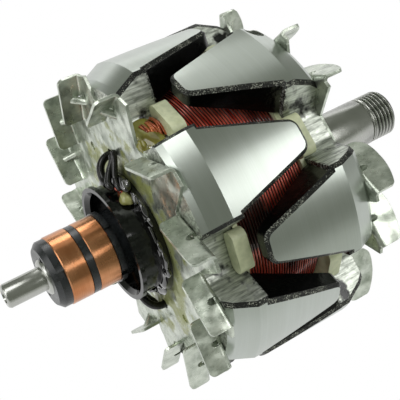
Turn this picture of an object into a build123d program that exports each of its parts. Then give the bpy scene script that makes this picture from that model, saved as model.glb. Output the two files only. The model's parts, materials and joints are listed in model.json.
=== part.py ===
from build123d import *
from math import cos, hypot, radians, sin, sqrt, tan
import os

# Claw-pole rotor of a vehicle alternator, in millimetres. The shaft lies along X. The
# origin is on its axis, at the shoulder that the drive-end bearing is pushed against.
# +X points to the threaded drive end, and the slip rings are at the -X end.
# Angles round the shaft are measured from +Z, and grow towards -Y.

# Pole pack
rotor_diameter = 109.0
pack_length = 54.8
plate_thickness = 12.4
claw_count = 6
claw_root_width = 29.8
claw_tip_width = 9.6
claw_length = 31.1
claw_tip_lean = 1.2
claw_tip_corner = 3.6
claw_edge_chamfer = 1.1
claw_tip_thickness = 4.8
claw_root_thickness = 11.2
claw_root_relief = 2.0
shoulder_width = 6.7
shoulder_drop = 3.4
face_edge_width = 1.8
face_edge_drop = 1.6
valley_depth = 13.9
valley_corner = 4.5
core_diameter = 46.0
balance_hole_diameter = 6.0
balance_hole_depth = 2.6
balance_hole_point = 118.0
balance_hole_setback = 4.6
balance_hole_angle = -12.6
blank_margin = 2.0
edge_tolerance = 0.1

# Shaft
pack_seat_diameter = 20.0
drive_seat_diameter = 17.0
drive_seat_length = 27.6
abutment_length = 8.7
thread_diameter = 16.8
thread_length = 10.2
thread_chamfer = 1.2
relief_width = 1.4
relief_depth = 0.6
ring_seat_diameter = 12.1
stub_diameter = 8.0
stub_length = 13.9
stub_chamfer = 0.8
stub_collar_length = 0.8
centre_hole_diameter = 3.4
centre_hole_depth = 3.6

# Fans
sheet = 1.0
fan_setback = 0.1
fan_hub_setback = 0.6
fan_bore_radius = 14.8
petal_overlap = 6.8
blade_reach = 13.4
ring_blade_sweep = 15.0
drive_blade_sweep = 16.5
ring_blade_heights = (6.8, 6.8, 6.8)
drive_blade_heights = (7.4, 9.0, 5.9)
blade_corner = 1.8
bend_radius = 0.8
gusset_reach = 3.0
gusset_radius = 1.25
weld_radius = 1.5
weld_depth = 0.4
weld_circle_radius = 32.0
ring_fan_angles = (179.0, -148.3, -117.7, -90.9, -66.2, -38.9, -8.8, 23.8, 51.9, 77.4, 100.9, 129.2, 154.9)
ring_petal_angles = (12.0, 6.2)
ring_blade_inner_corner = 1.8
drive_fan_angles = (-161.8, -124.3, -103.3, -65.3, -44.8, -5.0, 18.1, 58.7, 80.0, 120.6, 141.2, 177.2)
drive_petal_angles = (8.0, 3.6)
drive_blade_inner_corner = 5.0

# Winding and its spool
spool_wall = 1.2
spool_flange_thickness = 1.6
spool_claw_clearance = 1.0
spool_tab_height = 5.6
spool_tab_reach = 3.2
spool_tab_width = 13.4
spool_tab_corner = 2.4
valley_clearance = 0.3
winding_setback = 0.9
winding_crown = 0.5
winding_clearance = 0.1

# Slip rings and their moulding
slip_ring_diameter = 23.1
slip_ring_wall = 1.9
slip_ring_width = 7.3
slip_ring_edge = 0.3
slip_ring_setback = 12.8
separator_width = 2.3
separator_diameter = 22.9
collar_length = 4.1
collar_diameter = 22.5
collar_chamfer = 1.6
collar_notch_angles = (-60.0, 45.0, 150.0)
rear_flange_thickness = 1.9
rear_flange_diameter = 24.0
flange_notch_angles = (-75.0, 15.0, 90.0, -165.0)
notch_width = 2.4
notch_depth = 0.9
moulding_tail_diameter = 22.0
channel_width = 3.4
channel_depth = 2.3

# Dust cup round the foot of the slip rings
cup_length = 10.0
cup_depth = 6.3
cup_lip_diameter = 39.5
cup_lip_length = 1.5
cup_mouth_diameter = 36.4
cup_wall_diameter = 37.2
cup_wall = 1.5
cup_flange_diameter = 42.8
cup_flange_thickness = 2.1
cup_spigot_diameter = 28.4

# Conductors from the slip rings, their terminals and the leads of the winding
lead_angles = (0.0, 180.0)
lead_hole_offset = -33.0
lead_radius = 27.5
bar_width = 2.4
bar_thickness = 1.3
bar_foot_length = 2.0
bar_gap = 0.3
bar_tip_reach = 2.4
terminal_wall = 0.5
terminal_margin = 0.2
terminal_height = 1.6
wire_diameter = 0.9
sleeve_wall = 0.75
sleeve_clearance = 0.1
sleeve_start_offset = -19.0
sleeve_start_lift = 2.5
sleeve_start_step = 1.9
lead_hole_clearance = 0.5

# Clearance between turned parts that are pressed or slid together
fit_clearance = 0.05

# Radii
rotor_radius = rotor_diameter / 2
valley_radius = rotor_radius - valley_depth
fan_radius = rotor_radius - fan_setback
blade_root_radius = fan_radius - blade_reach
fan_hub_radius = blade_root_radius - fan_hub_setback
core_radius = core_diameter / 2
pack_seat_radius = pack_seat_diameter / 2
pack_bore_radius = pack_seat_radius + fit_clearance
drive_seat_radius = drive_seat_diameter / 2
ring_seat_radius = ring_seat_diameter / 2
slip_ring_radius = slip_ring_diameter / 2
slip_ring_bore = slip_ring_radius - slip_ring_wall
moulding_bore = ring_seat_radius + fit_clearance
moulding_seat = slip_ring_bore - fit_clearance
moulding_tail_radius = moulding_tail_diameter / 2
channel_top = moulding_bore + channel_depth
cup_flange_radius = cup_flange_diameter / 2
cup_wall_radius = cup_wall_diameter / 2
claw_root_inner = rotor_radius - claw_root_thickness
spool_flange_radius = claw_root_inner - spool_claw_clearance
spool_tab_radius = valley_radius + spool_tab_height
winding_radius = spool_flange_radius - winding_setback
wire_radius = wire_diameter / 2
sleeve_bore = wire_radius + sleeve_clearance
sleeve_radius = sleeve_bore + sleeve_wall
lead_hole_radius = sleeve_radius + lead_hole_clearance
spool_bore = core_radius + fit_clearance
winding_bore = spool_bore + spool_wall + winding_clearance

# Places along the shaft
claw_pitch = 360 / claw_count
lead_hole_angles = tuple(angle + lead_hole_offset for angle in lead_angles)
plate_to_claw = shoulder_width + face_edge_width
drive_fan_front = -abutment_length
drive_face = drive_fan_front - sheet
ring_face = drive_face - pack_length
ring_fan_front = ring_face - sheet
core_start = ring_face + plate_thickness
core_end = drive_face - plate_thickness
winding_start = core_start + spool_flange_thickness + winding_clearance
winding_end = core_end - spool_flange_thickness - winding_clearance
thread_start = drive_seat_length
shaft_drive_end = thread_start + thread_length
inner_ring_back = ring_fan_front - slip_ring_setback
inner_ring_front = inner_ring_back - slip_ring_width
outer_ring_back = inner_ring_front - separator_width
outer_ring_front = outer_ring_back - slip_ring_width
collar_front = outer_ring_front - collar_length
stub_end = collar_front - stub_length
cup_front = ring_fan_front - cup_length
cup_floor = cup_front + cup_depth
cup_flange_front = ring_fan_front - cup_flange_thickness
bar_foot_starts = (outer_ring_front + bar_foot_length, inner_ring_front + bar_foot_length)
bar_tip_back = cup_flange_front - bar_gap
bar_tip_front = bar_tip_back - bar_thickness
bar_bottom = moulding_bore + bar_gap
bar_top = bar_bottom + bar_thickness
bar_tip_radius = cup_wall_radius + bar_tip_reach


def round_place(radius, angle):
    """Y and Z of a point at a radius and an angle round the shaft."""
    return (-radius * sin(radians(angle)), radius * cos(radians(angle)))


def turned(points):
    """A solid turned about X from a closed outline of (x, radius) points."""
    return revolve(make_face(Polyline(*points, close=True)), Axis.X)


def ring(start, end, outer_radius, inner_radius):
    """A plain turned ring between two places along the shaft."""
    return turned([(start, inner_radius), (start, outer_radius), (end, outer_radius), (end, inner_radius)])


def block(start, end, width, low, high, angle):
    """A straight-sided bar along X that stands between two radii at an angle round the shaft."""
    centre = ((start + end) / 2, 0, (low + high) / 2)
    return Rot(X=angle) * Pos(*centre) * Box(end - start, width, high - low)


def rod(start, end, radius, height, angle):
    """A round rod along X, at a radius from the axis and an angle round the shaft."""
    centre = ((start + end) / 2, 0, height)
    return Rot(X=angle) * Pos(*centre) * Cylinder(radius, end - start, rotation=(0, 90, 0))


# Pole pieces. Each is a forged plate with six claws that fold over the winding. A claw is
# a trapezoid from above, leans a little to one side, and gets thinner towards its tip.
def pole_section():
    """The turned outline of the plate and the claws, with the outer face at x = 0."""
    claw_end = plate_to_claw + claw_length
    return turned([
        (0, pack_bore_radius),
        (0, rotor_radius - shoulder_drop - face_edge_drop),
        (face_edge_width, rotor_radius - shoulder_drop),
        (plate_to_claw, rotor_radius),
        (claw_end, rotor_radius),
        (claw_end, rotor_radius - claw_tip_thickness),
        (plate_thickness + claw_root_relief, claw_root_inner),
        (plate_thickness, claw_root_inner),
        (plate_thickness, pack_bore_radius),
    ])


def claw_plan():
    """One claw seen from outside, on the XY plane, with its rounded tip towards +X."""
    half_root = claw_root_width / 2
    half_tip = claw_tip_width / 2
    lean = -rotor_radius * sin(radians(claw_tip_lean))
    tip = plate_to_claw + claw_length
    outline = make_face(Polyline(
        (0, half_root), (plate_to_claw, half_root), (tip, lean + half_tip),
        (tip, lean - half_tip), (plate_to_claw, -half_root), (0, -half_root), close=True))
    corners = outline.vertices().filter_by(lambda v: v.X > tip - claw_tip_corner)
    return fillet(corners, claw_tip_corner)


def plate_plan():
    """The plate seen along the shaft: a disc with six arms and a rounded valley between each two."""
    plan = Circle(valley_radius)
    for index in range(claw_count):
        arm = Pos(0, rotor_radius / 2) * Rectangle(claw_root_width, rotor_radius + blank_margin)
        plan += Rot(Z=index * claw_pitch) * arm
    corners = plan.vertices().filter_by(lambda v: hypot(v.X, v.Y) < valley_radius + valley_clearance)
    return fillet(corners, valley_corner)


def turned_radius(x):
    """Radius of the turned outside at a distance x behind the outer face."""
    face_edge = rotor_radius - shoulder_drop - face_edge_drop * (1 - x / face_edge_width)
    shoulder = rotor_radius - shoulder_drop * (1 - (x - face_edge_width) / shoulder_width)
    return min(face_edge, shoulder, rotor_radius)


def is_claw_edge(edge):
    """Whether an edge bounds the turned outside along a claw's sides or round its tip."""
    middle = edge @ (1 / 2)
    outside = abs(hypot(middle.Y, middle.Z) - turned_radius(middle.X)) < edge_tolerance
    across = abs((edge @ 0).X - (edge @ 1).X) < edge_tolerance
    return outside and not (across and middle.X < plate_to_claw + claw_edge_chamfer)


def pole_piece():
    """A pole piece with its outer face at x = 0, its claws towards +X and one claw on top."""
    low = claw_root_inner - blank_margin
    finger = extrude(Pos(0, 0, low) * claw_plan(), rotor_radius + blank_margin - low)
    blank = extrude(Plane.YZ * plate_plan(), plate_thickness)
    for index in range(claw_count):
        blank += Rot(X=index * claw_pitch) * finger
    forging = blank & pole_section()
    return chamfer(forging.edges().filter_by(is_claw_edge), claw_edge_chamfer)


pole = pole_piece()
ring_claw_pole = Pos(ring_face, 0, 0) * Rot(X=claw_pitch / 2) * pole
drive_claw_pole = Pos(drive_face, 0, 0) * Rot(Z=180) * pole
pole_core = ring(core_start, core_end, core_radius, pack_bore_radius)


def balance_hole(x, angle):
    """A drilled hole with a conical bottom, from the shoulder at a place along the shaft inwards."""
    radius = balance_hole_diameter / 2
    mouth = turned_radius(balance_hole_setback)
    point = radius / tan(radians(balance_hole_point / 2))
    bottom = Pos(0, 0, mouth - balance_hole_depth - point / 2) * Rot(X=180) * Cone(radius, 0, point)
    straight = Pos(0, 0, mouth) * Cylinder(radius, 2 * balance_hole_depth)
    return Pos(x, 0, 0) * Rot(X=angle) * (straight + bottom)


drive_claw_pole -= balance_hole(drive_face - balance_hole_setback, balance_hole_angle)


# Shaft, turned and ground, with a stub for the small bearing beyond the slip rings
def shaft_solid():
    """The whole shaft, with its thread as the plain cylinder over the crests."""
    stub_radius = stub_diameter / 2
    thread_radius = thread_diameter / 2
    relief_radius = drive_seat_radius - relief_depth
    body = turned([
        (stub_end, 0),
        (stub_end, stub_radius - stub_chamfer),
        (stub_end + stub_chamfer, stub_radius),
        (collar_front - stub_collar_length, stub_radius),
        (collar_front - stub_collar_length, ring_seat_radius - stub_collar_length),
        (collar_front, ring_seat_radius),
        (ring_face, ring_seat_radius),
        (ring_face, pack_seat_radius),
        (0, pack_seat_radius),
        (0, drive_seat_radius),
        (thread_start - relief_width, drive_seat_radius),
        (thread_start - relief_width / 2, relief_radius),
        (thread_start, relief_radius),
        (thread_start, thread_radius),
        (shaft_drive_end - thread_chamfer, thread_radius),
        (shaft_drive_end, thread_radius - thread_chamfer),
        (shaft_drive_end, 0),
    ])
    centre_hole = turned([
        (stub_end, 0),
        (stub_end, centre_hole_diameter / 2),
        (stub_end + centre_hole_depth, 0),
    ])
    return body - centre_hole


shaft = shaft_solid()


# Fans. Each blade is a tongue of the disc that is bent up square, with a pressed gusset
# across its bend, and a petal of the disc stays beside it.
def blade_ends(angle, sweep):
    """The outer and inner ends of a blade's bend line, as (y, z)."""
    return round_place(fan_radius, angle), round_place(blade_root_radius, angle - sweep)


def fan_petal(angle, sweep, petal_angles):
    """The flat petal beside one blade, up to the start of the bend."""
    outer, inner = blade_ends(angle, sweep)
    root_angle, rim_angle = petal_angles
    length = hypot(outer[0] - inner[0], outer[1] - inner[1])
    along = ((outer[0] - inner[0]) / length, (outer[1] - inner[1]) / length)
    bend = sheet + bend_radius
    return make_face(Polyline(
        (inner[0] - along[1] * bend, inner[1] + along[0] * bend),
        (outer[0] - along[1] * bend, outer[1] + along[0] * bend),
        round_place(fan_radius - sheet, angle + rim_angle),
        round_place(fan_hub_radius, angle + root_angle),
        round_place(fan_hub_radius - petal_overlap, angle),
        close=True))


def blade_profile(top):
    """The bent sheet across the bend line: the blade stands along Y and the disc lies along X."""
    bend = sheet + bend_radius
    leg = bend + gusset_reach
    outline = (
        RadiusArc((bend, 0), (0, bend), bend)
        + Polyline((0, bend), (0, top), (sheet, top), (sheet, bend))
        + RadiusArc((sheet, bend), (bend, sheet), -bend_radius)
        + Polyline((bend, sheet), (leg, sheet), (leg, 0), (bend, 0)))
    return make_face(outline)


def blade_side(length, heights, inner_corner):
    """A blade from its side, its bend line along Z, with a free edge that may bow between its ends."""
    inner, crown, outer = (sheet + height for height in heights)
    free_edge = Line((inner, 0), (outer, length))
    if crown > max(inner, outer):
        free_edge = ThreePointArc((inner, 0), (crown, length / 2), (outer, length))
    side = make_face(free_edge + Polyline((outer, length), (0, length), (0, 0), (inner, 0)))
    ends = side.vertices().filter_by(lambda v: v.X > sheet).sort_by(Axis.Y)
    side = fillet(ends[0], inner_corner)
    return fillet(side.vertices().sort_by_distance((outer, length))[0], blade_corner)


def gusset_ridge(middle):
    """The rounded ridge inside the bend, from the petal up to the blade."""
    reach = sheet + gusset_reach
    ridge = Rot(Z=45) * Rot(X=90) * Cylinder(gusset_radius, 4 * reach)
    quarter = Box(2 * reach, 2 * reach, 4 * gusset_radius, align=(Align.MIN, Align.MIN, Align.CENTER))
    return Pos(0, 0, middle) * ((Pos(reach / 2, reach / 2, 0) * ridge) & (Pos(sheet / 2, sheet / 2, 0) * quarter))


def gusset_hollow(middle):
    """The hollow behind the ridge, on the outside of the bend."""
    reach = sheet + gusset_reach
    hollow_radius = gusset_radius - sheet / 4
    shift = reach / 2 - sheet / sqrt(2)
    groove = Rot(Z=45) * Rot(X=90) * Cylinder(hollow_radius, 4 * reach)
    slot = Rot(Z=45) * Pos(-reach, 0, 0) * Box(2 * reach, 4 * reach, 2 * hollow_radius)
    return Pos(shift, shift, middle) * (groove + slot)


def fan_blade(angle, sweep, side, back, heights, inner_corner):
    """One bent-up blade with its gusset, set on its bend line."""
    outer, inner = blade_ends(angle, sweep)
    start = Vector(back, *inner)
    length = (Vector(back, *outer) - start).length
    along = (Vector(back, *outer) - start).normalized()
    inward = Vector(0, -along.Z, along.Y)
    reach = sheet + bend_radius + gusset_reach
    blade = extrude(blade_profile(sheet + max(heights)), length)
    blade = blade & extrude(Plane.YZ * blade_side(length, heights, inner_corner), reach)
    blade = blade + gusset_ridge(length / 2) - gusset_hollow(length / 2)
    if side > 0:
        return Plane(origin=start, x_dir=inward, z_dir=along) * blade
    return mirror(Plane(origin=start, x_dir=inward, z_dir=along) * blade, Plane(origin=(back, 0, 0), z_dir=(1, 0, 0)))


def fan(angles, sweep, side, front, petal_angles, heights, inner_corner):
    """A whole fan, with its blades towards side (+1 is +X) and its front face at a place."""
    back = front - side * sheet
    disc = Circle(fan_hub_radius)
    for angle in angles:
        disc += fan_petal(angle, sweep, petal_angles)
    disc -= Circle(fan_bore_radius)
    plate = extrude(Plane.YZ * disc, side * sheet)
    solid = Pos(back, 0, 0) * plate
    for angle in angles:
        solid += fan_blade(angle, sweep, side, back, heights, inner_corner)
    for index in range(claw_count):
        solid -= rod(front - weld_depth, front + weld_depth, weld_radius, weld_circle_radius, index * claw_pitch)
    return solid


ring_fan = fan(ring_fan_angles, ring_blade_sweep, -1, ring_fan_front, ring_petal_angles,
               ring_blade_heights, ring_blade_inner_corner)
drive_fan = fan(drive_fan_angles, drive_blade_sweep, 1, drive_fan_front, drive_petal_angles,
                drive_blade_heights, drive_blade_inner_corner)
for angle in lead_hole_angles:
    ring_claw_pole -= rod(ring_face, core_start, lead_hole_radius, lead_radius, angle)
    ring_fan -= rod(ring_fan_front, ring_face, lead_hole_radius, lead_radius, angle)


# Winding, on a nylon spool with a tab in each valley of both pole pieces
def spool_tab():
    """A rounded lobe in the top valley, with the spool's end face at x = 0."""
    height = spool_tab_radius - valley_radius - valley_clearance
    lobe = Pos(0, spool_tab_radius - height / 2) * RectangleRounded(spool_tab_width, height, spool_tab_corner)
    return Pos(-spool_tab_reach, 0, 0) * extrude(Plane.YZ * lobe, spool_tab_reach + spool_flange_thickness)


def spool():
    """The spool with both flanges, its tabs and the holes for the leads."""
    body = turned([
        (core_start, spool_bore),
        (core_start, spool_flange_radius),
        (core_start + spool_flange_thickness, spool_flange_radius),
        (core_start + spool_flange_thickness, spool_bore + spool_wall),
        (core_end - spool_flange_thickness, spool_bore + spool_wall),
        (core_end - spool_flange_thickness, spool_flange_radius),
        (core_end, spool_flange_radius),
        (core_end, spool_bore),
    ])
    tab = spool_tab()
    for index in range(claw_count):
        body += Pos(core_start, 0, 0) * Rot(X=index * claw_pitch) * tab
        body += Pos(core_end, 0, 0) * Rot(X=(index + 1 / 2) * claw_pitch) * Rot(Z=180) * tab
    for angle in lead_hole_angles:
        body -= rod(core_start, winding_start, sleeve_bore, lead_radius, angle)
    return body


def winding():
    """The wound coil, a little fuller in the middle than at its ends."""
    edge = winding_radius - winding_crown
    middle = (winding_start + winding_end) / 2
    outline = (
        ThreePointArc((winding_start, edge), (middle, winding_radius), (winding_end, edge))
        + Polyline((winding_end, edge), (winding_end, winding_bore), (winding_start, winding_bore),
                   (winding_start, edge)))
    return revolve(make_face(outline), Axis.X)


coil_spool = spool()
field_coil = winding()


# Slip rings on their insulating moulding
def slip_ring(start):
    """One ring with its outer edges broken."""
    body = ring(start, start + slip_ring_width, slip_ring_radius, slip_ring_bore)
    edges = body.edges().filter_by(GeomType.CIRCLE).filter_by(lambda e: e.radius > moulding_seat + slip_ring_wall / 2)
    return chamfer(edges, slip_ring_edge)


def ring_moulding():
    """End collar, seats of both rings, separator, rear flange and tail, cut for the conductors."""
    collar = collar_diameter / 2
    separator = separator_diameter / 2
    flange = rear_flange_diameter / 2
    flange_back = inner_ring_back + rear_flange_thickness
    body = turned([
        (collar_front, moulding_bore),
        (collar_front, collar - collar_chamfer),
        (collar_front + collar_chamfer, collar),
        (outer_ring_front, collar),
        (outer_ring_front, moulding_seat),
        (outer_ring_back, moulding_seat),
        (outer_ring_back, separator),
        (inner_ring_front, separator),
        (inner_ring_front, moulding_seat),
        (inner_ring_back, moulding_seat),
        (inner_ring_back, flange),
        (flange_back, flange),
        (flange_back, moulding_tail_radius),
        (ring_face, moulding_tail_radius),
        (ring_face, moulding_bore),
    ])
    for angle in collar_notch_angles:
        body -= block(collar_front, outer_ring_front, notch_width, collar - notch_depth, collar + notch_depth, angle)
    for angle in flange_notch_angles:
        body -= block(inner_ring_back, flange_back, notch_width, flange - notch_depth, flange + notch_depth, angle)
    for angle, foot_start in zip(lead_angles, bar_foot_starts):
        foot_end = foot_start + bar_foot_length
        body -= block(collar_front, cup_flange_front, channel_width, 0, channel_top, angle)
        body -= block(foot_start - bar_gap, foot_end + bar_gap, channel_width, 0, slip_ring_bore, angle)
        body -= block(bar_tip_front - bar_gap, cup_flange_front, channel_width, 0, moulding_tail_radius + bar_gap, angle)
    return body


slip_ring_outer = slip_ring(outer_ring_front)
slip_ring_inner = slip_ring(inner_ring_front)
ring_insulator = ring_moulding()


# Dust cup, clamped under the fan side of the moulding, with a slot for each conductor
def cup():
    """The open cup with its lip, flange and spigot."""
    lip = cup_lip_diameter / 2
    bore = moulding_tail_radius + fit_clearance
    spigot = cup_spigot_diameter / 2
    body = turned([
        (cup_front, cup_mouth_diameter / 2),
        (cup_front, lip),
        (cup_front + cup_lip_length, lip),
        (cup_front + cup_lip_length, cup_wall_radius),
        (cup_flange_front, cup_wall_radius),
        (cup_flange_front, cup_flange_radius),
        (ring_fan_front, cup_flange_radius),
        (ring_fan_front, spigot),
        (ring_face, spigot),
        (ring_face, bore),
        (cup_floor, bore),
        (cup_floor, cup_wall_radius - cup_wall),
        (cup_front + cup_lip_length, cup_wall_radius - cup_wall),
    ])
    for angle in lead_angles:
        body -= block(bar_tip_front - bar_gap, cup_flange_front, channel_width, bar_top, bar_tip_radius, angle)
    return body


dust_cup = cup()


# Conductors, each a bent copper bar from the bore of its ring to a tip outside the cup
def conductor(foot_start, angle):
    """A bar under the rings with a foot at one end and a tip out through the cup's wall at the other."""
    foot_end = foot_start + bar_foot_length
    body = block(foot_start, bar_tip_back, bar_width, bar_bottom, bar_top, angle)
    body += block(foot_start, foot_end, bar_width, bar_bottom, slip_ring_bore - bar_gap, angle)
    body += block(bar_tip_front, bar_tip_back, bar_width, bar_bottom, bar_tip_radius, angle)
    return body


def terminal(angle):
    """A folded clip that holds a wire's end on the front of a conductor's tip."""
    low = cup_wall_radius + terminal_margin
    outer_width = bar_width + 2 * terminal_margin + 2 * terminal_wall
    front = bar_tip_front - wire_diameter - terminal_margin - terminal_wall
    clip = block(front, bar_tip_back, outer_width, low, low + terminal_height, angle)
    inside = block(front + terminal_wall, bar_tip_back, outer_width - 2 * terminal_wall, 0, 2 * bar_tip_radius, angle)
    return clip - inside


conductor_outer = conductor(bar_foot_starts[0], lead_angles[0])
conductor_inner = conductor(bar_foot_starts[1], lead_angles[1])


# Leads of the winding. Each wire leaves its terminal, runs round the cup's wall into a sleeve,
# and bends with it through the fan and the pole piece.
def place(x, radius, angle):
    """A point from its place along the shaft, its radius and its angle."""
    return Vector(x, *round_place(radius, angle))


def round_way(angle):
    """The direction round the shaft in which the wire leaves its terminal."""
    return Vector(0, *round_place(-1, angle + 90))


def free_wire(angle):
    """The bare wire's path, from inside its terminal to the mouth of its sleeve."""
    x = bar_tip_front - wire_radius
    start = place(x, cup_wall_radius + terminal_height / 2, angle)
    mouth = place(x - sleeve_start_step, cup_wall_radius + sleeve_start_lift, angle + sleeve_start_offset)
    outward = Vector(0, *round_place(1, angle))
    return Spline(start, mouth, tangents=(outward, round_way(angle + sleeve_start_offset)))


def bent_sleeve(angle):
    """The sleeve's path from its mouth to the front of its hole in the fan."""
    start = free_wire(angle)
    end = place(ring_fan_front, lead_radius, angle + lead_hole_offset)
    return Spline(start @ 1, end, tangents=(start % 1, Vector(1, 0, 0)))


def tube(paths, outer_radius, inner_radius):
    """A round wire or sleeve along a chain of paths."""
    path = Wire(paths)
    section = Circle(outer_radius)
    if inner_radius > 0:
        section -= Circle(inner_radius)
    return sweep(Plane(origin=path @ 0, z_dir=path % 0) * section, path)


def lead_wire(angle):
    """The coil's wire, from its terminal to the end of the winding."""
    bend = bent_sleeve(angle)
    hole = Line(bend @ 1, (winding_start, (bend @ 1).Y, (bend @ 1).Z))
    return tube((free_wire(angle), bend, hole), wire_radius, 0)


def lead_sleeve(angle):
    """The insulating sleeve over the wire, up to the spool."""
    bend = bent_sleeve(angle)
    hole = Line(bend @ 1, (core_start, (bend @ 1).Y, (bend @ 1).Z))
    return tube((bend, hole), sleeve_radius, sleeve_bore)


os.makedirs("parts", exist_ok=True)
nodes = {
    "shaft": shaft,
    "ring_claw_pole": ring_claw_pole,
    "drive_claw_pole": drive_claw_pole,
    "pole_core": pole_core,
    "coil_spool": coil_spool,
    "field_coil": field_coil,
    "ring_fan": ring_fan,
    "drive_fan": drive_fan,
    "slip_ring_outer": slip_ring_outer,
    "slip_ring_inner": slip_ring_inner,
    "ring_insulator": ring_insulator,
    "dust_cup": dust_cup,
    "conductor_outer": conductor_outer,
    "conductor_inner": conductor_inner,
    "terminal_start": terminal(lead_angles[0]),
    "terminal_finish": terminal(lead_angles[1]),
    "lead_start": lead_wire(lead_angles[0]),
    "lead_finish": lead_wire(lead_angles[1]),
    "lead_sleeve_start": lead_sleeve(lead_angles[0]),
    "lead_sleeve_finish": lead_sleeve(lead_angles[1]),
}
for name, solid in nodes.items():
    export_step(solid, f"parts/{name}.step")
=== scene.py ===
"""Looks of the claw-pole rotor: its thread, wound coil, lead sleeves, resin, varnish and metal finishes."""
import json
import math
import bmesh
import bpy
import numpy as np
from mathutils import Matrix, Vector


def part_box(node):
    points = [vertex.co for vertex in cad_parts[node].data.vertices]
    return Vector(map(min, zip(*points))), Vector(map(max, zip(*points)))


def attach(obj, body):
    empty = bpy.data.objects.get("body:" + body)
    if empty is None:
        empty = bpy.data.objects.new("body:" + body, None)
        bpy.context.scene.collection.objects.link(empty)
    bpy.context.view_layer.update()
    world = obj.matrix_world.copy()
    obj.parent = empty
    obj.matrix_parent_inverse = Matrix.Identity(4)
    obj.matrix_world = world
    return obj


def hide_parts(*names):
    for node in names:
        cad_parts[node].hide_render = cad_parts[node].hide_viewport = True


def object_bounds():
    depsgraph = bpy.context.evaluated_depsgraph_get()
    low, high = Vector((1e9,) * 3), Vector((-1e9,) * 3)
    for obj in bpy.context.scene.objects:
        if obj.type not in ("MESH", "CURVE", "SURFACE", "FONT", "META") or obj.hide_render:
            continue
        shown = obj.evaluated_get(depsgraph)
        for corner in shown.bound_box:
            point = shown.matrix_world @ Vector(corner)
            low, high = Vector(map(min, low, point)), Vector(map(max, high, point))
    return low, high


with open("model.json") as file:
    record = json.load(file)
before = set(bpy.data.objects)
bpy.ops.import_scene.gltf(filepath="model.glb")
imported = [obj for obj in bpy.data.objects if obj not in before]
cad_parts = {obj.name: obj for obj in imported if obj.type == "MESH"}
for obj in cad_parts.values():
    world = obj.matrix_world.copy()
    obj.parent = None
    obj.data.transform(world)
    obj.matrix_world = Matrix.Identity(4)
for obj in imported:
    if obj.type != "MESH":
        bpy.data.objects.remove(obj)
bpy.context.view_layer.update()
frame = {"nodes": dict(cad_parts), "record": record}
record = frame["record"]
MM = 0.001
TAU = 2 * math.pi


# Places along the shaft and radii, in millimetres, from the CAD nodes' boxes
def span(node):
    """Both ends of a node along the shaft, and its height above the axis."""
    low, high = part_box(node)
    return low.x / MM, high.x / MM, high.z / MM


shaft_x0, shaft_x1, _ = span("shaft")
ring_pole_x0, _, _ = span("ring_claw_pole")
_, drive_pole_x1, rotor_r = span("drive_claw_pole")
coil_x0, coil_x1, coil_r = span("field_coil")
_, _, cup_r = span("dust_cup")
coil_pitch = 0.96
thread_x0 = 27.6
thread_crest = 8.4
fan_sheet = 1.0
cup_flange = 2.1
cup_flange_reach = 2.8
valley_depth = 14.1
cup_foot = ring_pole_x0 - fan_sheet - cup_flange
cup_wall_r = cup_r - cup_flange_reach
valley_floor_r = rotor_r - valley_depth


# Node trees
def colour(code):
    """Linear RGBA of an sRGB hex code."""
    values = [int(code[i:i + 2], 16) / 255 for i in (0, 2, 4)]
    return [v / 12.92 if v <= 0.04045 else ((v + 0.055) / 1.055) ** 2.4 for v in values] + [1.0]


def cleared(owner):
    """The emptied node tree of a new material or world."""
    owner.use_nodes = True
    owner.node_tree.nodes.clear()
    return owner.node_tree


def add(tree, kind, inputs=(), out=None, **settings):
    """Adds a node with its settings, sets or links its inputs, given in their order or by name, and returns
    the output that is named, or else its first."""
    node = tree.nodes.new("ShaderNode" + kind)
    for key, value in settings.items():
        setattr(node, key, value)
    if not isinstance(inputs, dict):
        shown = [index for index, socket in enumerate(node.inputs) if socket.enabled]
        inputs = dict(zip(shown, inputs))
    for key, value in inputs.items():
        if isinstance(value, bpy.types.NodeSocket):
            tree.links.new(value, node.inputs[key])
        else:
            node.inputs[key].default_value = value
    return node.outputs[out] if out else next((socket for socket in node.outputs if socket.enabled), None)


def place(tree):
    """Object coordinates in millimetres."""
    coords = add(tree, "TexCoord", out="Object")
    return add(tree, "VectorMath", (coords, (1 / MM, 1 / MM, 1 / MM)), operation="MULTIPLY")


def parts(tree, vector):
    """The x, y and z of a vector."""
    return [add(tree, "SeparateXYZ", (vector,), out=axis) for axis in "XYZ"]


def from_axis(tree, y, z):
    """The distance from the shaft's axis."""
    squares = [add(tree, "Math", (side, 2.0), operation="POWER") for side in (y, z)]
    return add(tree, "Math", (add(tree, "Math", squares, operation="ADD"),), operation="SQRT")


def clouds(tree, vector, size_mm, detail=2.0, rough=0.5):
    """Noise whose blotches have a size in millimetres along x, y and z."""
    mapped = add(tree, "VectorMath", (vector, [1 / side for side in size_mm]), operation="MULTIPLY")
    return add(tree, "TexNoise", (mapped, 1.0, detail, rough))


def turned_lines(tree, x, radius, spacing_mm, detail=3.0):
    """Lines that a lathe tool leaves round the shaft: noise of x and radius only. The real ones are about
    0.1 mm apart, and are drawn two or three times as coarse, so that they show."""
    across = [add(tree, "Math", (way, 1 / spacing_mm), operation="MULTIPLY") for way in (x, radius)]
    return add(tree, "TexNoise", (add(tree, "CombineXYZ", across), 1.0, detail))


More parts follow.
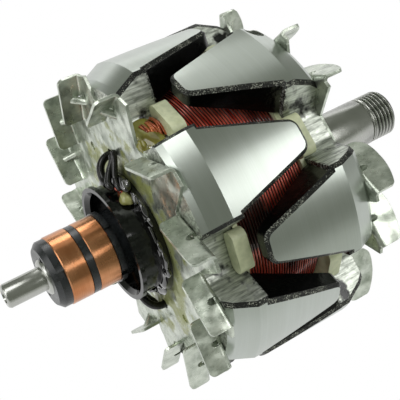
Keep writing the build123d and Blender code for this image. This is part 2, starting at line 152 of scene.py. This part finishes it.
# Looks: each returns the inputs of its material's shader
def turned_metal(tree, dark, light, roughness, spacing_mm=0.25, line_mm=0.0008, anisotropy=0.5):
    """Turned steel, iron or copper: bare metal with fine lines round the shaft, which stretch its highlights
    along the shaft, and a painted shade, with some grime, that darkens the grooves of the thread."""
    vector = place(tree)
    x, y, z = parts(tree, vector)
    radius = from_axis(tree, y, z)
    lines = turned_lines(tree, x, radius, spacing_mm)
    patch = clouds(tree, vector, (8.33, 8.33, 8.33), 3.0)
    worn = add(tree, "Math", (add(tree, "Math", (lines, 0.5), operation="MULTIPLY"), patch), operation="ADD")
    worn = add(tree, "MapRange", (worn, 0.55, 0.95, 0.0, 1.0))
    # Painted shade, with some grime: colour darkened deep in the grooves of the thread
    deep = add(tree, "MapRange", (radius, thread_crest - 0.2, thread_crest - 0.55, 0.0, 1.0))
    on_thread = add(tree, "Math", (x, thread_x0), operation="GREATER_THAN")
    groove_shade = add(tree, "Math", (deep, on_thread), operation="MULTIPLY")
    groove_shade_amount = add(tree, "Math", (groove_shade, 0.85), operation="MULTIPLY")
    metal = add(tree, "Mix", (worn, colour(dark), colour(light)), data_type="RGBA")
    return {
        "Base Color": add(tree, "Mix", (groove_shade_amount, metal, colour("2b2c29")), data_type="RGBA"),
        "Metallic": 1.0,
        "Roughness": add(tree, "MapRange", (patch, 0.3, 0.7, roughness * 0.85, roughness * 1.15)),
        "Tangent": add(tree, "CombineXYZ", (1.0, 0.0, 0.0)),
        "Anisotropic": anisotropy,
        "Normal": add(tree, "Bump", {"Height": lines, "Distance": line_mm * MM}),
    }


def pole_iron(tree):
    """Iron pole piece, dipped in black varnish and then turned outside: satin metal where the tool went,
    rough and speckled on the bevels, wet black on the flanks and scraped bright on the plate's edges."""
    vector = place(tree)
    x, y, z = parts(tree, vector)
    radius = from_axis(tree, y, z)
    normal = add(tree, "NewGeometry", out="Normal")
    outward = add(tree, "VectorMath", (add(tree, "CombineXYZ", (0.0, y, z)),), operation="NORMALIZE")
    round_way = add(tree, "VectorMath", (outward, (1, 0, 0)), operation="CROSS_PRODUCT")
    facing = add(tree, "VectorMath", (outward, normal), operation="DOT_PRODUCT")
    sideways = add(tree, "VectorMath", (round_way, normal), operation="DOT_PRODUCT")
    middle = (ring_pole_x0 + drive_pole_x1) / 2
    half_length = (drive_pole_x1 - ring_pole_x0) / 2
    from_middle = add(tree, "Math", (x, middle), operation="SUBTRACT")
    from_middle = add(tree, "Math", (from_middle,), operation="ABSOLUTE")

    # Turned: faces outward, and less steeply on the sloping shoulder
    shoulder_length = 8.6
    on_shoulder = add(tree, "Math", (from_middle, half_length - shoulder_length), operation="GREATER_THAN")
    slope = add(tree, "Math", (on_shoulder, 0.33), operation="MULTIPLY")
    steepest = add(tree, "Math", (0.93, slope), operation="SUBTRACT")
    outside = add(tree, "Math", (facing, steepest), operation="GREATER_THAN")
    turn_away = add(tree, "Math", (sideways,), operation="ABSOLUTE")
    straight = add(tree, "Math", (turn_away, 0.2), operation="LESS_THAN")
    skin = add(tree, "Math", (radius, rotor_r - 6.0), operation="GREATER_THAN")
    machined = add(tree, "Math", (straight, outside), operation="MULTIPLY")
    machined = add(tree, "Math", (machined, skin), operation="MULTIPLY")
    lines = turned_lines(tree, x, radius, 0.2, 2.0)
    lines = add(tree, "MapRange", (lines, 0.3, 0.7, 0.0, 1.0))
    satin = add(tree, "Mix", (lines, colour("b4bab4"), colour("bac0ba")), data_type="RGBA")
    wide = add(tree, "MapRange", (clouds(tree, vector, (2.0, 20.0, 20.0)), 0.35, 0.65, 0.0, 0.15))
    satin = add(tree, "Mix", (wide, satin, colour("a5aa9f")), data_type="RGBA")

    # Bevels: rough iron under the varnish, with glints of bare grains
    high = add(tree, "Math", (radius, rotor_r - 8.5), operation="GREATER_THAN")
    leaning = add(tree, "Math", (facing, 0.45), operation="GREATER_THAN")
    bevel = add(tree, "Math", (leaning, high), operation="MULTIPLY")
    grain = clouds(tree, vector, (0.385, 0.385, 0.385), 3.0, 0.7)
    patch = clouds(tree, vector, (4.0, 4.0, 4.0))
    least = add(tree, "MapRange", (patch, 0.4, 0.6, 0.62, 0.52))
    glint = add(tree, "Math", (grain, least), operation="SUBTRACT")
    glint = add(tree, "MapRange", (glint, 0.0, 0.1, 0.0, 1.0))
    speckled = add(tree, "Mix", (glint, colour("141613"), colour("b9bcae")), data_type="RGBA")

    # Flanks: black varnish, and scraped metal in patches on the plate's edges
    ragged = clouds(tree, vector, (1.11, 1.11, 1.11), 4.0, 0.7)
    thin = add(tree, "MapRange", (ragged, 0.66, 0.8, 0.0, 1.0))
    varnish = add(tree, "Mix", (thin, colour("050605"), colour("2a2d28")), data_type="RGBA")
    plate = half_length - 12.4
    wander = add(tree, "Math", (ragged, 5.0), operation="MULTIPLY")
    towards_end = add(tree, "Math", (from_middle, wander), operation="ADD")
    in_plate = add(tree, "MapRange", (towards_end, plate + 2.2, plate + 3.4, 0.0, 1.0))
    streaks = clouds(tree, vector, (6.25, 0.77, 0.77), 4.0, 0.6)
    streaks = add(tree, "MapRange", (streaks, 0.36, 0.60, 0.0, 1.0))
    scraped = add(tree, "Mix", (streaks, colour("8f948b"), colour("dbdfd6")), data_type="RGBA")
    rubbed = clouds(tree, vector, (7.14, 9.09, 9.09), 3.0, 0.6)
    rubbed = add(tree, "MapRange", (rubbed, 0.36, 0.46, 0.0, 1.0))
    bare = add(tree, "Math", (in_plate, rubbed), operation="MULTIPLY")
    flank = add(tree, "Mix", (bare, varnish, scraped), data_type="RGBA")
    flank = add(tree, "Mix", (bevel, flank, speckled), data_type="RGBA")

    # How metallic, rough and uneven each of the three is
    bare_metal = add(tree, "Math", (bare, 0.85), operation="MULTIPLY")
    not_bevel = add(tree, "Math", (1.0, bevel), operation="SUBTRACT")
    bare_metal = add(tree, "Math", (bare_metal, not_bevel), operation="MULTIPLY")
    bevel_metal = add(tree, "Math", (bevel, 0.4), operation="MULTIPLY")
    flank_metal = add(tree, "Math", (bare_metal, bevel_metal), operation="ADD")
    dull = add(tree, "Math", (bevel, bare), operation="MAXIMUM")
    dull = add(tree, "Math", (dull, 0.22), operation="MULTIPLY")
    wet = add(tree, "MapRange", (ragged, 0.3, 0.7, 0.12, 0.26))
    flank_rough = add(tree, "Math", (wet, dull), operation="ADD")
    coarse = clouds(tree, vector, (2.86, 2.86, 2.86))
    coarse = add(tree, "Math", (coarse, 0.7), operation="MULTIPLY")
    pitted = add(tree, "MapRange", (bevel, 0.0, 1.0, 0.05, 0.45))
    pitted = add(tree, "Math", (grain, pitted), operation="MULTIPLY")
    uneven = add(tree, "Math", (coarse, pitted), operation="ADD")
    rounded = add(tree, "Bevel", {"Radius": 0.35 * MM}, samples=4)
    rounded = add(tree, "Mix", (machined, rounded, normal), data_type="VECTOR")
    height = add(tree, "Mix", (machined, uneven, 0.5))
    return {
        "Base Color": add(tree, "Mix", (machined, flank, satin), data_type="RGBA"),
        "Metallic": add(tree, "Math", (machined, flank_metal), operation="MAXIMUM"),
        "Roughness": add(tree, "Mix", (machined, flank_rough, 0.28)),
        "Normal": add(tree, "Bump", {"Height": height, "Distance": 0.3 * MM, "Normal": rounded}),
    }


def zinc_sheet(tree):
    """Zinc plated steel sheet: grey-green metal, cloudy and softly dented by the press, with yellow-green
    runs of varnish on the slip-ring fan near its hub."""
    vector = place(tree)
    x, y, z = parts(tree, vector)
    radius = from_axis(tree, y, z)
    cloud = clouds(tree, vector, (6.25, 4.55, 4.55), 4.0, 0.6)
    cloud = add(tree, "MapRange", (cloud, 0.35, 0.65, 0.0, 1.0))
    streak = clouds(tree, vector, (2.0, 1.11, 4.0), 4.0, 0.6)
    pale = add(tree, "MapRange", (streak, 0.5, 0.72, 0.0, 0.5))
    plated = add(tree, "Mix", (cloud, colour("a6aea1"), colour("dae0d4")), data_type="RGBA")
    plated = add(tree, "Mix", (pale, plated, colour("e4e8df")), data_type="RGBA")
    patch = clouds(tree, vector, (5.0, 7.69, 7.69), 4.0, 0.6)
    inner = add(tree, "MapRange", (radius, 42.0, 24.0, 0.0, 1.0))
    ring_side = add(tree, "Math", (x, coil_x0), operation="LESS_THAN")
    near_hub = add(tree, "Math", (inner, ring_side), operation="MULTIPLY")
    flow = add(tree, "Math", (near_hub, 0.22), operation="MULTIPLY")
    flow = add(tree, "Math", (patch, flow), operation="ADD")
    stain = add(tree, "MapRange", (flow, 0.60, 0.70, 0.0, 1.0))
    reach = add(tree, "MapRange", (near_hub, 0.0, 0.1, 0.0, 1.0))
    stain = add(tree, "Math", (stain, reach), operation="MULTIPLY")
    tint = add(tree, "Math", (stain, 0.8), operation="MULTIPLY")
    dents = clouds(tree, vector, (8.33, 8.33, 8.33), 1.0, 0.4)
    dents = add(tree, "Math", (dents, 0.98), operation="MULTIPLY")
    scratches = add(tree, "Math", (streak, 0.02), operation="MULTIPLY")
    height = add(tree, "Math", (dents, scratches), operation="ADD")
    rounded = add(tree, "Bevel", {"Radius": 0.3 * MM}, samples=4)
    return {
        "Base Color": add(tree, "Mix", (tint, plated, colour("8f9440")), data_type="RGBA"),
        "Metallic": add(tree, "MapRange", (stain, 0.0, 1.0, 0.85, 0.2)),
        "Roughness": add(tree, "MapRange", (streak, 0.3, 0.7, 0.25, 0.36)),
        "Normal": add(tree, "Bump", {"Height": height, "Distance": 1.6 * MM, "Normal": rounded}),
    }


def moulded(tree, dark, light, roughness, peel_mm=0.05, coat=0.0):
    """Moulded plastic, sleeve or varnish: an orange-peel surface that breaks its highlights, under a glossy
    coat where it is wet."""
    vector = place(tree)
    peel = clouds(tree, vector, (2.0, 2.0, 2.0), 3.0)
    tone = add(tree, "MapRange", (peel, 0.35, 0.65, 0.0, 1.0))
    return {
        "Base Color": add(tree, "Mix", (tone, colour(dark), colour(light)), data_type="RGBA"),
        "Roughness": add(tree, "MapRange", (peel, 0.3, 0.7, roughness * 0.8, roughness * 1.2)),
        "Coat Weight": coat,
        "Coat IOR": 1.8,
        "Normal": add(tree, "Bump", {"Height": peel, "Distance": peel_mm * MM}),
    }


def enamelled(tree, dark, light):
    """Bright copper wire under clear enamel: a coloured metal with a thin gloss over it."""
    vector = place(tree)
    tone = add(tree, "MapRange", (clouds(tree, vector, (0.909, 10.0, 10.0)), 0.3, 0.7, 0.0, 1.0))
    return {
        "Base Color": add(tree, "Mix", (tone, colour(dark), colour(light)), data_type="RGBA"),
        "Metallic": 0.4,
        "Roughness": 0.22,
        "Coat Weight": 0.4,
    }


def wound_wire(tree, groove_shade, dark, light, varnish_and_shadow):
    """Red enamelled wire wound in a helix: its tones on the crown of each turn, with a light end that stands
    for a painted highlight, and a painted shade in the groove beside it; dark varnish soaked in patches, and
    with it a painted shadow of the claws, most of all at the front and top of the coil near the slip rings."""
    vector = place(tree)
    x, y, z = parts(tree, vector)
    turns = add(tree, "Math", (z, y), operation="ARCTAN2")
    turns = add(tree, "Math", (turns, TAU), operation="DIVIDE")
    pitches = add(tree, "Math", (x, coil_x0), operation="SUBTRACT")
    pitches = add(tree, "Math", (pitches, coil_pitch), operation="DIVIDE")
    in_pitch = add(tree, "Math", (pitches, turns), operation="SUBTRACT")
    in_pitch = add(tree, "Math", (in_pitch,), operation="FRACT")
    from_crown = add(tree, "Math", (in_pitch, 0.5), operation="SUBTRACT")
    from_crown = add(tree, "Math", (from_crown,), operation="ABSOLUTE")
    # The crowns keep the wire's tones, whose light end is a painted highlight; the grooves get a painted
    # shade
    tone = add(tree, "MapRange", (clouds(tree, vector, (0.909, 10.0, 10.0)), 0.35, 0.65, 0.0, 1.0))
    groove_shade_mask = add(tree, "MapRange", (from_crown, 0.18, 0.40, 0.0, 1.0))
    wire = add(tree, "Mix", (tone, colour(dark), colour(light)), data_type="RGBA")
    wire = add(tree, "Mix", (groove_shade_mask, wire, colour(groove_shade)), data_type="RGBA")
    # Painted shadow of the claws at the front and top of the coil near the slip rings, added to noise patches
    # of soaked varnish
    front = add(tree, "MapRange", (y, -18.0, -26.0, 0.0, 1.0))
    upper = add(tree, "MapRange", (z, 14.0, 20.0, 0.0, 1.0))
    ring_end = add(tree, "MapRange", (x, -34.0, -42.0, 0.0, 1.0))
    varnish_and_shadow_mask = add(tree, "Math", (front, upper), operation="MULTIPLY")
    varnish_and_shadow_mask = add(tree, "Math", (varnish_and_shadow_mask, ring_end), operation="MULTIPLY")
    varnish_and_shadow_mask = add(tree, "Math", (varnish_and_shadow_mask, 0.3), operation="MULTIPLY")
    varnish_and_shadow_mask = add(tree, "Math", (clouds(tree, vector, (14.3, 14.3, 14.3), 3.0), varnish_and_shadow_mask), operation="ADD")
    varnish_and_shadow_mask = add(tree, "MapRange", (varnish_and_shadow_mask, 0.58, 0.70, 0.0, 0.92))
    return {
        "Base Color": add(tree, "Mix", (varnish_and_shadow_mask, wire, colour(varnish_and_shadow)), data_type="RGBA"),
        "Metallic": 0.25,
        "Roughness": 0.18,
        "Coat Weight": 0.6,
    }


def cured_resin(tree, dark, light):
    """Cured resin: glassy, with slow changes of tone where it is deeper."""
    vector = place(tree)
    tone = add(tree, "MapRange", (clouds(tree, vector, (5.0, 5.0, 5.0)), 0.35, 0.65, 0.0, 1.0))
    return {
        "Base Color": add(tree, "Mix", (tone, colour(dark), colour(light)), data_type="RGBA"),
        "Roughness": 0.1,
        "Coat Weight": 0.5,
    }


# Materials: each is a look with its tones and measures
materials = {}


def make(name, look, *tones, **measures):
    """A new material, kept under its name, with one shader that has the given look."""
    materials[name] = bpy.data.materials.new(name)
    tree = cleared(materials[name])
    shader = add(tree, "BsdfPrincipled", look(tree, *tones, **measures))
    add(tree, "OutputMaterial", (shader,))


# Ground steel: nearly mirror bright, with faint lines, and painted shade in the grooves of its thread
make("shaft_steel", turned_metal, "a9aaa5", "bdbeb9", 0.25, line_mm=0.0002, anisotropy=0.3)
make("pole_iron", pole_iron)
# Turned iron: dull grey
make("core_iron", turned_metal, "55584f", "7a7c74", 0.4)
make("zinc_sheet", zinc_sheet)
# Copper run in by the brushes: warm, with long soft highlights
make("ring_copper", turned_metal, "b4754c", "d69a70", 0.27, spacing_mm=0.3125, line_mm=0.0003)
# Drawn copper bar: a little darker and duller
make("bar_copper", turned_metal, "a86f45", "c98a5f", 0.3)
# Wound wire: painted shade in the grooves, its tones up to a painted highlight on the crowns, and dark
# varnish that also paints the claws' shadow
make("enamelled_wire", wound_wire, "150403", "b92d1e", "f27a62", "0b0605")
# Black thermoset: deep black with sharp highlights
make("black_moulding", moulded, "050606", "0a0b0b", 0.12, peel_mm=0.03)
# Varnish that looks wet: black glass
make("wet_varnish", moulded, "030303", "060706", 0.05, peel_mm=0.02, coat=1.0)
# Dark grey thermoset, turned together with the rings: satin
make("grey_moulding", moulded, "1f2223", "2a2d30", 0.28, peel_mm=0.012)
# Natural nylon: cream with broad soft highlights
make("nylon", moulded, "c6cca6", "dadeba", 0.40)
# Sleeve of varnished glass fibre: black satin
make("sleeving", moulded, "080807", "121210", 0.22)
# Resin on the terminals, nearly clear
make("resin", cured_resin, "6f6c26", "c6c58a")
# Resin in the valleys, thicker and browner
make("amber", cured_resin, "6a6220", "aaa850")
make("bare_wire", enamelled, "8a3416", "e28850")

slots = {part["node"]: part["material_slot"] for part in record["subparts"]}
for name, node in frame["nodes"].items():
    node.data.materials.clear()
    node.data.materials.append(materials[slots[name]])


# Parametric surfaces
def surface(name, points, slot, ring=False, sharp_from=60.0):
    """A riding piece of quads from a grid of points in millimetres, shape (rows, around, 3). Each row is
    closed round, the last row joins the first on a ring, and the points of a pole are joined to one."""
    rows, around, _ = points.shape
    row, step = np.meshgrid(np.arange(rows if ring else rows - 1), np.arange(around), indexing="ij")
    next_row, next_step = (row + 1) % rows, (step + 1) % around
    corners = ((row, step), (row, next_step), (next_row, next_step), (next_row, step))
    quads = np.stack([one * around + other for one, other in corners], -1).reshape(-1, 4)
    mesh = bpy.data.meshes.new(name)
    mesh.vertices.add(rows * around)
    mesh.vertices.foreach_set("co", (points * MM).astype(np.float32).ravel())
    mesh.loops.add(quads.size)
    mesh.loops.foreach_set("vertex_index", quads.astype(np.int32).ravel())
    mesh.polygons.add(len(quads))
    mesh.polygons.foreach_set("loop_start", np.arange(0, quads.size, 4, dtype=np.int32))
    mesh.update(calc_edges=True)
    joined = bmesh.new()
    joined.from_mesh(mesh)
    bmesh.ops.remove_doubles(joined, verts=joined.verts, dist=1e-4 * MM)
    joined.to_mesh(mesh)
    joined.free()
    mesh.shade_smooth()
    mesh.set_sharp_from_angle(angle=math.radians(sharp_from))
    mesh.materials.append(materials[slot])
    piece = bpy.data.objects.new(name, mesh)
    bpy.context.scene.collection.objects.link(piece)
    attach(piece, "root")
    return piece


def turned(x, radius, angle):
    """Points at places along the shaft and radii, turned about X from +Y to +Z, for rows of a surface."""
    return np.stack(np.broadcast_arrays(x, radius * np.cos(angle), radius * np.sin(angle)), -1)


def ways(x, radius, angle):
    """The point at a place along the shaft, a radius and an angle in degrees from +Z towards -Y."""
    angle = np.radians(angle)
    return np.stack(np.broadcast_arrays(x, -radius * np.sin(angle), radius * np.cos(angle)), -1)


# Shaft with its real thread
def threaded_shaft():
    """Rows of the turned outline from the stub to the nut's end, each row a circle about X whose radius dips,
    over the threaded length, by half a raised cosine of x / pitch minus the angle in turns."""
    pitch, depth, rows, around = 1.5, 0.66, 780, 96
    stub, ring_seat, pack_seat, bearing_seat, run_out = 4.0, 6.05, 10.0, 8.5, 8.2
    stub_x1 = shaft_x0 + 13.1
    centre_hole = [(shaft_x0 + 3.6, 0.0), (shaft_x0 + 1.2, 1.7), (shaft_x0, 2.3)]
    stub_outline = [(shaft_x0, 3.3), (shaft_x0 + 0.25, 3.65), (shaft_x0 + 0.8, stub), (stub_x1, stub)]
    ring_end = [(stub_x1, 5.25), (stub_x1 + 0.8, ring_seat), (ring_pole_x0, ring_seat)]
    shoulder = [(ring_pole_x0, pack_seat), (-0.3, pack_seat), (0.0, pack_seat - 0.3)]
    drive_end = [(0.0, bearing_seat), (26.9, bearing_seat), (27.2, run_out), (thread_x0, run_out)]
    plain_x, plain_r = np.array(centre_hole + stub_outline + ring_end + shoulder + drive_end).T
    thread_x = np.linspace(thread_x0, shaft_x1, rows)
    thread_r = np.minimum(thread_crest, thread_crest - 1.2 + (shaft_x1 - thread_x))
    x = np.concatenate([plain_x, thread_x, [shaft_x1]])[:, None]
    blank = np.concatenate([plain_r, thread_r, [0.0]])[:, None]
    turn = np.arange(around) / around
    dip = depth * (0.5 + 0.5 * np.cos(TAU * ((x - thread_x0) / pitch - turn)))
    threaded = np.clip((x - thread_x0) / pitch, 0, 1) * (x < shaft_x1)
    radius = np.where(threaded > 0, np.minimum(blank, thread_crest - dip * threaded), blank)
    radius[-1] = 0.0
    piece = surface("threaded_shaft", turned(x, radius, TAU * turn), "shaft_steel", sharp_from=50.0)
    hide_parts("shaft")


threaded_shaft()


# Coil, with the turns of its outer layer
def wound_coil():
    """A closed ring about X whose outside is a row of half-round turns on one helix: the radius falls from
    the crown by the circle of a wire's section, with its place in the pitch shifted by the angle in turns."""
    wire, bore, crown_drop, rows, around = 0.5, 24.4, 0.45, 350, 180
    outside_x = np.linspace(coil_x0, coil_x1, rows)[:, None]
    centre, half = (coil_x0 + coil_x1) / 2, (coil_x1 - coil_x0) / 2
    crown = coil_r - crown_drop * ((outside_x - centre) / half) ** 2
    turn = np.arange(around) / around
    in_pitch = ((outside_x - coil_x0) / coil_pitch - turn) % 1.0 - 0.5
    arc = np.sqrt(np.clip(1 - (2 * in_pitch) ** 2, 0.0, 1.0))
    slack = 0.06 * np.sin(3 * TAU * turn + outside_x * 2.3) * np.sin(5 * TAU * turn + outside_x)
    outside = crown - 0.07 + slack - wire * (1 - arc)
    x = np.concatenate([outside_x, [[coil_x1], [coil_x0]]])
    radius = np.concatenate([outside, np.full((2, around), bore)])
    piece = surface("wound_coil", turned(x, radius, TAU * turn), "enamelled_wire", ring=True)
    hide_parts("field_coil")


wound_coil()


# Strands of wire and sleeve, and drops of resin and varnish
def smooth_path(points, count):
    """A cubic through the points, with the slope at each from its two neighbours, in count even steps."""
    points = np.asarray(points, float)
    slope = np.gradient(points, axis=0)
    t = np.linspace(0, len(points) - 1, count)
    k = np.minimum(t.astype(int), len(points) - 2)
    u = (t - k)[:, None]
    start, end = 2 * u ** 3 - 3 * u ** 2 + 1, 3 * u ** 2 - 2 * u ** 3
    leave, arrive = u ** 3 - 2 * u ** 2 + u, u ** 3 - u ** 2
    return start * points[k] + leave * slope[k] + end * points[k + 1] + arrive * slope[k + 1]


def strand(name, points, radius, slot, count=48, around=14):
    """A round tube along a smooth path with domed ends: each row is a circle square to the path, whose radius
    falls to nothing at both ends."""
    path = smooth_path(points, count)
    ahead = np.gradient(path, axis=0)
    ahead /= np.linalg.norm(ahead, axis=1)[:, None]
    side = np.cross(ahead, [0.31, 0.87, 0.38])
    side /= np.linalg.norm(side, axis=1)[:, None]
    over = np.cross(ahead, side)
    from_end = np.minimum(np.arange(count), np.arange(count)[::-1])
    reach = radius * np.where(from_end == 0, 0.0, np.where(from_end == 1, 0.8, 1.0))[:, None, None]
    angle = (TAU * np.arange(around) / around)[None, :, None]
    circle = np.cos(angle) * side[:, None] + np.sin(angle) * over[:, None]
    surface(name, path[:, None] + reach * circle, slot)


def drop(name, x, radius, angle, halves, slot, wobble, phase, rows=28, around=40):
    """A closed drop on the rotor: an ellipsoid with its half lengths along the shaft, round it and out from
    it, whose size is raised and lowered by a few waves of its two angles."""
    polar = np.linspace(0, math.pi, rows)[:, None]
    turn = TAU * np.arange(around) / around
    wave = np.sin(2 * turn + phase) * np.sin(3 * polar + phase) + 0.6 * np.sin(3 * turn - phase)
    size = 1 + wobble * np.sin(polar) * wave
    flat = np.sin(polar)
    unit = np.stack([flat * np.cos(turn), flat * np.sin(turn), np.cos(polar) + 0 * turn], -1)
    axes = np.stack([(1.0, 0.0, 0.0), ways(0.0, 1.0, angle + 90), ways(0.0, 1.0, angle)])
    surface(name, ways(x, radius, angle) + (unit * size[..., None] * halves) @ axes, slot, sharp_from=180.0)


def lead_dress(name, angle):
    """Two more strands of sleeve beside the CAD's, the resin on the terminal and the black varnish that holds
    them. A strand's points are places along the shaft, radii, and degrees from the terminal."""
    strands = (
        ((-71.0, 20.8, -9.0), (-71.8, 21.9, -13.5), (-71.0, 23.1, -17.5),
         (-69.4, 24.9, -20.5), (-67.6, 27.2, -21.5), (-66.6, 29.0, -24.0)),
        ((-69.8, 21.2, -3.0), (-70.0, 22.4, -8.0), (-69.4, 23.5, -13.0),
         (-68.4, 25.6, -16.0), (-66.9, 28.8, -19.5), (-66.5, 31.0, -20.5)))
    for index, points in enumerate(strands):
        path = [ways(x, radius, angle + past) for x, radius, past in points]
        strand(f"{name}_strand_{index + 1}", path, 1.15 - 0.2 * index, "sleeving")
    on_terminal, beside = angle + 4.0, angle - 5.0
    drop(f"{name}_resin", cup_foot - 2.0, cup_wall_r + 1.3, on_terminal, (2.0, 2.7, 1.7), "resin", 0.14, 1.3)
    drop(f"{name}_varnish", cup_foot - 0.6, cup_r + 1.2, beside, (1.7, 3.6, 2.2), "wet_varnish", 0.22, 0.4)


lead_dress("start", 0.0)
lead_dress("finish", 180.0)


def varnish_drops():
    """Flat drops of varnish on the front of the cup's flange, a few together round each side."""
    for index, angle in enumerate((9, 20, 33, 58, 68, 80, 118, 152, 205, 236, 262, 301, 334)):
        radius = cup_r - 0.6 + 0.8 * math.sin(1.7 * index)
        halves = (1.1, 2.8 + 1.0 * math.sin(2.3 * index), 2.1)
        drop(f"varnish_drop_{index + 1}", cup_foot - 0.1, radius, angle, halves, "wet_varnish", 0.16, index)


varnish_drops()


def varnish_bead():
    """A closed ring about X in the corner of the cup's foot: an oval whose size waves round the cup."""
    around, section_steps = 220, 20
    turn = (TAU * np.arange(around) / around)[:, None]
    section = TAU * np.arange(section_steps) / section_steps
    size = 1.1 + 0.4 * np.sin(5 * turn + 0.7) * np.sin(3 * turn) + 0.22 * np.sin(17 * turn + 1.1)
    x = cup_foot - 0.3 + 0.75 * size * np.cos(section)
    radius = cup_wall_r + 0.7 + 1.5 * size * np.sin(section)
    surface("varnish_bead", turned(x, radius, turn), "wet_varnish", ring=True, sharp_from=180.0)


varnish_bead()


def valley_resin():
    """Cured resin on the floor of the top valley against the spool's tab, and copper strands across it. A
    strand rises from the resin on one side, crosses at full height and sinks into it on the other."""
    drop("valley_resin", -59.8, valley_floor_r, -0.5, (4.7, 7.4, 2.0), "amber", 0.12, 2.1)
    drop("valley_drip", -63.4, valley_floor_r - 0.6, 2.0, (1.7, 4.2, 2.2), "amber", 0.15, 0.6)
    foot, crest = valley_floor_r + 0.8, valley_floor_r + 2.6
    for index in range(7):
        x, lean = -55.9 - 0.75 * index, 0.5 * math.sin(2.0 * index)
        path = [
            ways(x, foot, -8.5 + 0.9 * index),
            ways(x - 0.3 + lean, crest - 0.1 * index, -4.0),
            ways(x + 0.2, crest - 0.1 - 0.12 * index, 0.0),
            ways(x + 0.4 - lean, foot - 0.2, 4.5 - 0.4 * index)]
        strand(f"coil_end_{index + 1}", path, 0.42, "bare_wire", count=26, around=8)


valley_resin()


# Camera, fitted to the photo: where it looks from, how far it aims beside the shaft, and its focal length
azimuth, elevation, roll = math.radians(-33.261), math.radians(48.705), math.radians(-0.3)
distance, aim_right, aim_up, aim_x = 294.603, 12.015, 6.189, -56.0
focal_pixels, picture_pixels, sensor_mm = 896.707, 400, 36.0
camera_data = bpy.data.cameras.new("camera")
camera_data.sensor_width = sensor_mm
camera_data.lens = sensor_mm * focal_pixels / picture_pixels
camera_data.clip_start = 0.01
camera_data.clip_end = 10.0
camera = bpy.data.objects.new("camera", camera_data)
bpy.context.scene.collection.objects.link(camera)
bpy.context.scene.camera = camera
level = math.cos(elevation)
back = Vector((math.sin(azimuth) * level, -math.cos(azimuth) * level, math.sin(elevation)))
right = Vector((math.cos(azimuth), math.sin(azimuth), 0))
up = back.cross(right)
eye = back * distance + right * aim_right + up * aim_up + Vector((aim_x, 0, 0))
pose = Matrix((right, up, back)).transposed().to_4x4()
pose.translation = eye * MM
camera.matrix_world = Matrix.Rotation(roll, 4, "X") @ pose

# Floor under the rotor: white to the camera, and mirrored as a grey that pales towards the back
half = 3.0
floor_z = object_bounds()[0][2] - 0.0002
floor_mesh = bpy.data.meshes.new("floor")
corners = [(-half, -half, floor_z), (half, -half, floor_z), (half, half, floor_z), (-half, half, floor_z)]
floor_mesh.from_pydata(corners, [], [(0, 1, 2, 3)])
floor = bpy.data.objects.new("floor", floor_mesh)
bpy.context.scene.collection.objects.link(floor)
floor_material = bpy.data.materials.new("floor")
tree = cleared(floor_material)
floor_y = add(tree, "SeparateXYZ", (place(tree),), out="Y")
grey = add(tree, "MapRange", (floor_y, -170.0, -105.0, 0.12, 0.85))
in_metal = add(tree, "Math", (add(tree, "LightPath", out="Is Glossy Ray"), grey), operation="MULTIPLY")
seen = add(tree, "Math", (add(tree, "LightPath", out="Is Camera Ray"), in_metal), operation="MAXIMUM")
pale = add(tree, "BsdfDiffuse", (colour("e8eae6"),))
white = add(tree, "Emission", ((1, 1, 1, 1), 1.0))
add(tree, "OutputMaterial", (add(tree, "MixShader", (seen, pale, white)),))
floor_mesh.materials.append(floor_material)


# Light: large soft panels, placed by what the turned faces mirror, and a pale surround
def soft_panel(name, direction, distance, size_mm, radiance):
    """A panel in a direction from the rotor's middle, with the radiance that its surface shows. Its first
    size runs along the shaft and its second one round it."""
    outward = Vector(direction).normalized()
    around = outward.cross(Vector((1, 0, 0))).normalized()
    along = around.cross(outward)
    data = bpy.data.lights.new(name, "AREA")
    data.shape = "RECTANGLE"
    data.size, data.size_y = size_mm[0] * MM, size_mm[1] * MM
    data.energy = radiance * math.pi * data.size * data.size_y
    light = bpy.data.objects.new(name, data)
    turn = Matrix((along, around, outward)).transposed().to_4x4()
    turn.translation = (Vector((-30, 0, 0)) + outward * distance) * MM
    light.matrix_world = turn
    bpy.context.scene.collection.objects.link(light)


soft_panel("key", (0.60, -0.56, 0.655), 700, (340, 430), 3.0)
soft_panel("top_left", (-0.42, 0.20, 0.89), 700, (260, 300), 2.8)
soft_panel("top_back", (0.36, 0.62, 0.68), 800, (620, 420), 0.60)
soft_panel("back_wall", (0.40, 1.0, -0.02), 900, (1200, 260), 0.9)
soft_panel("left", (-0.95, 0.15, 0.35), 800, (420, 520), 2.0)
soft_panel("ring_back", (0.20, 0.82, 0.50), 700, (170, 260), 4.6)
soft_panel("ring_front", (0.19, -0.64, 0.73), 700, (110, 170), 4.0)
soft_panel("glint", (-0.72, 0.0, 0.70), 700, (70, 50), 40.0)

world = bpy.data.worlds.new("surround")
bpy.context.scene.world = world
tree = cleared(world)
to_camera = add(tree, "LightPath", out="Is Camera Ray")
shade = add(tree, "Mix", (to_camera, colour("84887e"), (1, 1, 1, 1)), data_type="RGBA")
add(tree, "OutputWorld", (add(tree, "Background", (shade, 1.0)),))
bpy.context.scene.view_settings.view_transform = "Standard"
